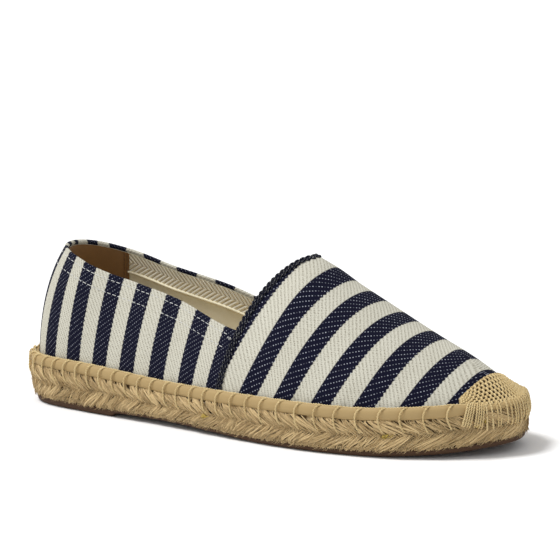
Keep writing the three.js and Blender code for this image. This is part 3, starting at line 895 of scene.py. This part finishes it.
def soles():
    def inside(mm, share):
        return lambda x: mm + share * flare(x)

    def level(share):
        return lambda x: jute_foot(x) + (jute_top(x) - jute_foot(x)) * share

    slab("rubber_sole", [
        (inside(2.6, 1.0), tread),
        (inside(1.6, 1.0), lambda x: tread(x) + 0.12),
        (inside(1.05, 1.0), lambda x: tread(x) + 0.6),
        (inside(0.85, 0.9), lambda x: (tread(x) + rubber_top(x)) / 2),
        (inside(0.8, 0.85), lambda x: rubber_top(x) - 0.25),
        (inside(1.1, 0.85), rubber_top),
    ], RUBBER, "rubber_brown", "outsole")
    # the core under the braid is coloured darker than the yarn: painted shade in the gaps between the
    # braid's leaves
    core = [(2.0, 0.85, 0.0), (1.5, 0.6, 0.25), (2.6, 0.4, 0.5), (1.5, 0.2, 0.75), (1.6, 0.0, 1.0)]
    slab("jute_core_shade", [(inside(mm, share), level(up)) for mm, share, up in core], JUTE_CORE_SHADE,
         "jute_braid", "jute_sole")

    def within(mm):
        return lambda x: upper_inset(x) + WALL + mm

    def above(mm):
        return lambda x: jute_top(x) + GAP + mm

    slab("footbed", [(within(0.7), above(0.0)), (within(0.8), above(1.4)), (within(1.6), above(2.0))],
         FOOTBED, "insole_canvas", "insole")


TIERS = table("name top bottom slant bulge pitch", ("jute_upper_braid", 1.03, 0.47, 1.02, 1.0, 1.0),
              ("jute_lower_braid", 0.54, -0.04, -1.15, 1.0, 0.9))
BRAID_PITCH = table("x pitch", (0, 6.4), (120, 7.4), (190, 9.2), (TOE, 10.6))
FIBRES = 22
HEEL_END = 11.0                # the braid's ends stand upright this far each side of the heel back
HAIRS, FRINGE_HAIRS = 4200, 1500
LOWEST_HAIR = -0.12            # from the jute's foot, as a share of its height: clear of the floor


def steps_round(pitch_at, start, spread, short=0.0):
    """Places on both sides from the heel back to short mm from the toe tip, each with its pitch."""
    tip = SOLE.arc_at(SOLE.tip)
    found = []
    for side in (-1, 1):
        end = (tip if side < 0 else SOLE.length - tip) - short
        q = start
        while q < end:
            place = q if side < 0 else SOLE.length - q
            pitch = float(pitch_at(x_at(place)))
            found.append((place, pitch))
            q += pitch * (1 + RNG.normal(0, spread))
    return found


def braid(tier):
    """One tier: leaves of combed fibres that lean along the outline, each tucked under the next."""
    pitch_at = curve(BRAID_PITCH, "pitch")
    v = linspace(0, 1, 8)
    swell = sin(pi * clip(v, 0.03, 0.97)) ** 0.5
    curl = sin(2 * pi * v)
    lines, radii = [], []
    for place, pitch in steps_round(lambda x: pitch_at(x) * tier["pitch"], 3.0, 0.07):
        from_heel = min(place, SOLE.length - place)
        upright = min(1, max(0.08, (from_heel - HEEL_END) / 14))
        slant = tier["slant"] * pitch * (1 + RNG.normal(0, 0.16)) * upright
        out = RNG.normal(0, 0.28)
        bend = RNG.normal(-0.35, 0.3) * np.sign(slant)
        for fibre in range(FIBRES):
            y = fibre / (FIBRES - 1) - 0.5 + RNG.normal(0, 0.05)
            lean = slant * (1 + RNG.normal(0, 0.24))
            q = place + lean * (v - 0.5) + pitch * y * (0.6 + 0.46 * swell) + RNG.normal(0, 0.3)
            q = q + np.cumsum(RNG.normal(0, 0.13, len(v))) + bend * curl
            crest = math.sqrt(max(0, 1 - (1.8 * y) ** 2))
            stand = -1.35 + tier["bulge"] * swell + (0.55 * crest + 0.42 * y) * (0.35 + 0.65 * swell)
            stand = stand + out + RNG.normal(0, 0.14) + RNG.normal(0, 0.05, len(v))
            share = v * RNG.uniform(0.94, 1.04) + RNG.normal(0, 0.02)
            lines.append(jute_wall(q, tier["top"] + (tier["bottom"] - tier["top"]) * share, stand))
            radii.append(0.29 * (0.7 + 0.3 * swell) * RNG.uniform(0.6, 1.4))
    tubes(tier["name"], lines, array(radii), JUTE, "jute_braid", sides=5)


def heel_ends():
    """The braid's two ends, turned upright over both tiers at the heel back."""
    v = linspace(0, 1, 10)
    swell = sin(pi * clip(v, 0.03, 0.97)) ** 0.4
    lines, radii = [], []
    for place in arange(-HEEL_END - 5, HEEL_END + 5, 0.62):
        q = place + RNG.normal(0, 0.25) + RNG.normal(0, 0.5) * (v - 0.5)
        lines.append(jute_wall(q, 1.02 - 1.02 * v, -0.9 + 1.15 * swell + RNG.normal(0, 0.22)))
        radii.append(0.52 * (0.7 + 0.3 * swell) * (1 + RNG.normal(0, 0.15)))
    tubes("heel_braid_ends", lines, array(radii), JUTE, "jute_braid", sides=6)


def loose_fibres():
    """Fine hairs that stand off the jute, and a short fringe over the rubber."""
    v = linspace(0, 1, 4)
    lines = []
    for _ in range(HAIRS):
        q, up = RNG.uniform(0, SOLE.length), RNG.uniform(0.0, 1.0)
        slope = 1 if up > 0.5 else -1
        reach, curl = RNG.uniform(1.5, 4.5), RNG.uniform(0.1, 0.9)
        height = np.maximum(up - reach * v * 0.05 * RNG.uniform(0.2, 1.4), LOWEST_HAIR)
        lines.append(jute_wall(q + slope * reach * v * 0.7, height, 0.25 + curl * v**1.6))
    for _ in range(FRINGE_HAIRS):
        q = RNG.uniform(0, SOLE.length) + RNG.normal(0, 0.6) * v
        lines.append(jute_wall(q, 0.10 - v * RNG.uniform(0.1, 0.2), 0.1 + 0.25 * v))
    taper = array([1, 0.9, 0.7, 0.3])
    tubes("jute_fibres", lines, 0.1 * taper[None], JUTE, "jute_braid", sides=3)


# small tufts of yellow straw caught in the braid: arc from the toe tip, height, width
TUFTS = table("from_tip up wide", (-58, 0.5, 2.6), (-16, 0.72, 1.4), (-19, 0.62, 1.6), (70, 0.5, 2.2),
              (150, 0.4, 1.8), (-150, 0.42, 1.5))


def straw_tufts():
    v = linspace(0, 1, 5)
    tip = SOLE.arc_at(SOLE.tip)
    lines = []
    for row in TUFTS:
        for _ in range(26):
            q = tip + row["from_tip"] + RNG.normal(0, row["wide"] / 3) + RNG.normal(0, 1.0) * (v - 0.5)
            up = row["up"] + RNG.normal(0, 0.03) + RNG.normal(0, 0.06) * (v - 0.5)
            lines.append(jute_wall(q, up, 0.1 + 0.9 * sin(pi * v) * RNG.uniform(0.4, 1)))
    tubes("straw_tufts", lines, 0.13, STRAW, "jute_braid", sides=4)


RAND_ROWS = table("out up", (-2.4, 0.0), (-0.75, 0.02), (-0.35, 0.12), (-0.2, 0.32), (-0.18, 0.55),
                  (-0.32, 0.76), (-0.72, 0.92), (-1.3, 1.0), (-2.0, 1.02), (-2.6, 0.97))
STITCH_SPACING = table("x gap", (0, 7.0), (60, 7.4), (130, 8.6), (200, 9.6), (235, 9.8))
LACE_START = 27.0              # the lace's rear ends, along the outline from the toe tip


def stitch_places():
    """Arc positions of the blanket stitches, from the heel round each side to the toe cap."""
    found = steps_round(curve(STITCH_SPACING, "gap"), 3.4, 0.035, LACE_START)
    return array([place for place, _ in found])


def rand_wall(q, up, out):
    """Like jute_wall, on the rand: up 0 to 1 over its height."""
    q, up, out = np.broadcast_arrays(q, up, out)
    return wall(q, TIP_INSET * tip_share(q) - out, jute_top(x_at(q)) + GAP + rand_height(q) * up)


def heel_narrowing(q):
    """How much further in the upper stands at the heel, mm."""
    return upper_inset(x_at(q)) - UPPER_INSET


def from_nearest(q, places):
    """Distance round the outline from each q to the nearest place."""
    away = (q[:, None] - places[None] + SOLE.length / 2) % SOLE.length - SOLE.length / 2
    return np.abs(away).min(1)


def rand_band(places):
    q = linspace(0, SOLE.length, 1200, endpoint=False)
    pinch = 0.22 * exp(-(from_nearest(q, places) / 1.1) ** 2)
    lines = []
    for row in RAND_ROWS:
        reach = heel_narrowing(q) if row["out"] < -1.2 and row["up"] > 0.5 else 0
        out = row["out"] - reach - pinch * (row["up"] > 0.1)
        lines.append(rand_wall(q, row["up"], out)[0])
    piece = grid("rand_band", stack(lines), RAND, "rand_tan", wrap_cols=True)
    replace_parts(piece, "rand")


def through(rows, count):
    """A smooth line through a table's rows (Catmull-Rom), as count points."""
    p = array([list(row.values()) for row in rows], float)
    p = concatenate([2 * p[:1] - p[1:2], p, 2 * p[-1:] - p[-2:-1]])
    t = linspace(0, len(p) - 3 - 1e-6, count)
    i = t.astype(int)
    u = (t - i)[:, None]
    a, b, c, d = p[i], p[i + 1], p[i + 2], p[i + 3]
    bend, twist = 2 * a - 5 * b + 4 * c - d, 3 * b - a - 3 * c + d
    return 0.5 * (2 * b + (c - a) * u + bend * u**2 + twist * u**3)


# a blanket stitch: ahead (toward the toe), drop from the rand's top, out from the outline
STITCH = table("ahead drop out", (2.6, 0.1, -2.0), (1.5, -0.25, -1.1), (0.3, 0.6, -0.1), (-0.5, 2.0, 0.38),
               (-0.85, 3.6, 0.42), (-0.75, 5.4, 0.5), (-0.3, 7.0, 0.85), (0.4, 8.8, 0.9), (1.1, 10.2, 0.1),
               (1.4, 10.9, -0.9))
CORD_RADIUS = 0.44


def cord_over(shape, q, reach=1.0, over=0.0):
    """A cord over the rand and the jute at arcs q; shape's columns are ahead, drop and out."""
    drop = shape[:, 1] * reach
    x = x_at(q)
    top = jute_top(x) + GAP + rand_height(q)
    share = clip((drop - RAND_HEIGHT) / 14, 0, 1)
    inset = FLARE_SHARE * share * flare(x) - (shape[:, 2] + over) + TIP_INSET * tip_share(q)
    P, N = wall(q, inset, top - drop)
    return P, N + [0, 0, 0.15]


def blanket_stitches(places):
    shape = through(STITCH, 26)
    tip = SOLE.arc_at(SOLE.tip)
    lines = []
    for place in places:
        ahead = 1 if place < tip else -1
        sway = RNG.normal(0, 0.25)
        reach = RNG.uniform(0.93, 1.04)
        q = place + ahead * (shape[:, 0] + sway * linspace(0, 1, len(shape)))
        lines.append(cord_over(shape, q, reach))
    tubes("blanket_stitches", lines, CORD_RADIUS, CORD, "toe_cord", sides=7, plies=2, lay=2.6)
    q = linspace(0, SOLE.length, 1800, endpoint=False)
    sag = 1 - exp(-(from_nearest(q, places) / 1.6) ** 2)
    P, N = rand_wall(q, 1.0 + 0.05 - 0.05 * sag, -1.75 - 0.3 * sag - 0.35 * heel_narrowing(q))
    tubes("running_cord", [(P, N * 0 + [0, 0, 1.0])], CORD_RADIUS * 0.95, CORD, "toe_cord", sides=6,
          plies=2, lay=2.6, closed=True)


# --- toe cap: needle lace of cord
LACE_ROWS = 7
LACE_LIFT = 0.78
LACE_PITCH = 2.2


def lace_line(share, lift, count):
    """A line round the toe cap from its lateral end: share 0 on the rand, 1 at its rear edge."""
    parts = []
    for side in (-1, 1):
        start = lace_end(side)
        s = linspace(start, LAST, count)
        band = rand_height(SOLE.arc_at(loop_at(side, s)))
        low = theta_at_height(side, s, -lift, band + 0.2)
        high = np.maximum(theta_at_cap(side, s, -lift), low)
        P = surface(side, s, low + (high - low) * share, -lift)
        edge = SOLE.point(loop_at(side, s), 3.0 - 0.7 * lift)
        top = jute_top(edge[..., 0]) + GAP + band + 0.3 * lift
        bridge = at_level(edge, top) - surface(side, s, low, -lift)
        fade = (1 - share) ** 1.7 * clip((s - start) / 1.6, 0, 1)
        parts.append(P + bridge * fade[..., None])
    return concatenate([parts[0], parts[1][::-1][1:]])


def lace_end(side):
    """The station where the cap's rear edge meets the rand."""
    s = linspace(BACK + 8, LAST, 400)
    low = theta_at_height(side, s, 0.0, RAND_HEIGHT + 0.2)
    return float(s[np.argmax(theta_at_cap(side, s, 0.0) > low + 0.02)])


def lace_grid(lift, rows, count):
    return stack([lace_line(share, lift, count) for share in linspace(0, 1, rows)])


def toe_lace():
    # the dark sheet under the loops is painted shade seen through the lace
    grid("lace_shade_sheet", lace_grid(0.25, 12, 60), LACE_SHADE_SHEET, "toe_cord", flip=True)
    P = lace_grid(LACE_LIFT, LACE_ROWS + 1, 160)
    N = -grid_normals(P)
    N = N * np.sign(N[..., 2].mean())
    run = lengths(P, 1)
    v = linspace(-0.12, 1.12, 8)[:, None]
    stand = 0.42 * sin(pi * clip(v, 0, 1)) - 0.05
    rows, loops = [], []
    for j in range(LACE_ROWS + 1):
        whole = run[j, -1]
        even = linspace(0, whole, 260)
        norm = unit(pick(even, run[j], N[j]))
        turn = (2 * pi * even / LACE_PITCH + j * pi)[:, None]
        line = pick(even, run[j], P[j]) + norm * 0.3 * sin(turn)
        rows.append((line + array([0, 0, 0.16]) * cos(turn), norm))
        if j == LACE_ROWS:
            continue
        for start in arange(0.6, whole - 0.6, LACE_PITCH):
            share = (start + (LACE_PITCH / 2 if j % 2 else 0)) / whole
            low, n = pick(share, run[j] / whole, P[j]), unit(pick(share, run[j] / whole, N[j]))
            high = pick(min(1, share + 0.35 / whole), run[j + 1] / run[j + 1, -1], P[j + 1])
            if np.linalg.norm(high - low) >= 0.45:
                loops.append((low + (high - low) * v + n * stand, np.repeat(n[None], len(v), 0)))
    thick = np.full((len(rows), 1), 0.4)
    thick[-1] = 0.5
    piece = tubes("toe_lace", rows, thick, CORD, "toe_cord", sides=6, plies=2, lay=1.9)
    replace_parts(piece, "toe_cap")
    tubes("toe_lace_loops", loops, 0.5, CORD, "toe_cord", sides=6)


# long cords from the lace's lower edge over the rand and the upper jute tier
LACE_CORD = table("ahead drop out", (0.3, -0.8, -2.4), (0.1, -0.3, -1.3), (0.0, 0.8, -0.3),
                  (0.0, 2.4, 0.35), (0.0, 4.4, 0.65), (0.0, 6.4, 1.0), (0.0, 8.2, 1.05),
                  (0.2, 9.8, 0.6), (0.3, 10.8, -0.6))


def toe_cords():
    shape = through(LACE_CORD, 22)
    tip = SOLE.arc_at(SOLE.tip)
    down = linspace(0, 1, len(shape))
    lines = []
    for side in (-1, 1):
        for bundle, slant in ((23.0, 3.8), (19.0, 2.4)):          # bundles at the lace's rear ends
            for strand in range(4):
                q = tip + side * (bundle - strand * 1.0) + shape[:, 0] + side * slant * down
                lines.append(cord_over(shape, q, 0.8 + 0.03 * strand, 0.15))
    for place in arange(-15.5, 15.6, 2.3):
        q = tip + place + RNG.normal(0, 0.25) + shape[:, 0] + RNG.normal(0, 0.5) * down
        lines.append(cord_over(shape, q, RNG.uniform(0.8, 1.0)))
    tubes("toe_cords", lines, 0.46, CORD, "toe_cord", sides=7, plies=2, lay=2.4)


# --- stage, light and camera
def stage():
    """A white floor and backdrop, soft light all round and a broad light from the heel's outer side."""
    mesh = bpy.data.meshes.new("floor")
    reach = 6
    mesh.from_pydata([(x * reach, y * reach, 0) for x, y in ((-1, -1), (1, -1), (1, 1), (-1, 1))], [],
                     [(0, 1, 2, 3)])
    floor = bpy.data.objects.new("floor", mesh)
    floor.location.z = -0.0002
    sh = Shader("white_floor")
    mesh.materials.append(sh.finish((0.96, 0.96, 0.96, 1), 1.0, specular=0.0))
    bpy.context.scene.collection.objects.link(floor)
    world = bpy.data.worlds.new("studio")
    world.use_nodes = True
    nodes, links = world.node_tree.nodes, world.node_tree.links
    nodes["Background"].inputs["Strength"].default_value = 0.62
    seen = nodes.new("ShaderNodeBackground")
    seen.inputs["Color"].default_value = (1, 1, 1, 1)
    nodes["Background"].inputs["Color"].default_value = (1, 1, 1, 1)
    path, mix = nodes.new("ShaderNodeLightPath"), nodes.new("ShaderNodeMixShader")
    links.new(path.outputs["Is Camera Ray"], mix.inputs[0])
    links.new(nodes["Background"].outputs[0], mix.inputs[1])
    links.new(seen.outputs[0], mix.inputs[2])
    links.new(mix.outputs[0], nodes["World Output"].inputs[0])
    bpy.context.scene.world = world
    data = bpy.data.lights.new("key", "SUN")
    data.angle, data.energy = math.radians(20), 2.35
    key = bpy.data.objects.new("key", data)
    key.rotation_euler = (math.radians(28), 0, math.radians(-54))
    bpy.context.scene.collection.objects.link(key)


def camera():
    """A long lens ahead of and outside the shoe, a little above it."""
    azimuth, elevation, roll = math.radians(34.65), math.radians(11.17), math.radians(-0.92)
    distance, lens = 1196.9, 174.96
    aim = array([125.0 - FRAME_MIDDLE[0], -FRAME_MIDDLE[1], 30.0])
    back = array([sin(azimuth) * cos(elevation), -cos(azimuth) * cos(elevation),
                     sin(elevation)])
    right = unit(np.cross(-back, [0, 0, 1]))
    up = np.cross(right, -back)
    right = cos(roll) * right + sin(roll) * up
    up = np.cross(right, -back)
    forward = unit(-back + 0.00415 * right + 0.0269 * up)       # the shoe sits low and right of the middle
    right = unit(right - forward * np.dot(right, forward))
    up = np.cross(right, forward)
    data = bpy.data.cameras.new("camera")
    data.lens, data.sensor_width = lens, 36
    data.clip_start, data.clip_end = 0.05, 20
    eye = bpy.data.objects.new("camera", data)
    turn = Matrix([[right[i], up[i], -forward[i]] for i in range(3)]).to_4x4()
    eye.matrix_world = Matrix.Translation((aim + back * distance) * MM) @ turn
    bpy.context.scene.collection.objects.link(eye)
    bpy.context.scene.camera = eye


vamp_grid = vamp()
quarter()
linings()
binding_stitches()
collar_stitches()
selvedge(vamp_grid)
soles()
for tier in TIERS:
    braid(tier)
heel_ends()
loose_fibres()
straw_tufts()
places = stitch_places()
rand_band(places)
blanket_stitches(places)
toe_lace()
toe_cords()
stage()
camera()

bpy.context.scene.view_settings.view_transform = "Standard"
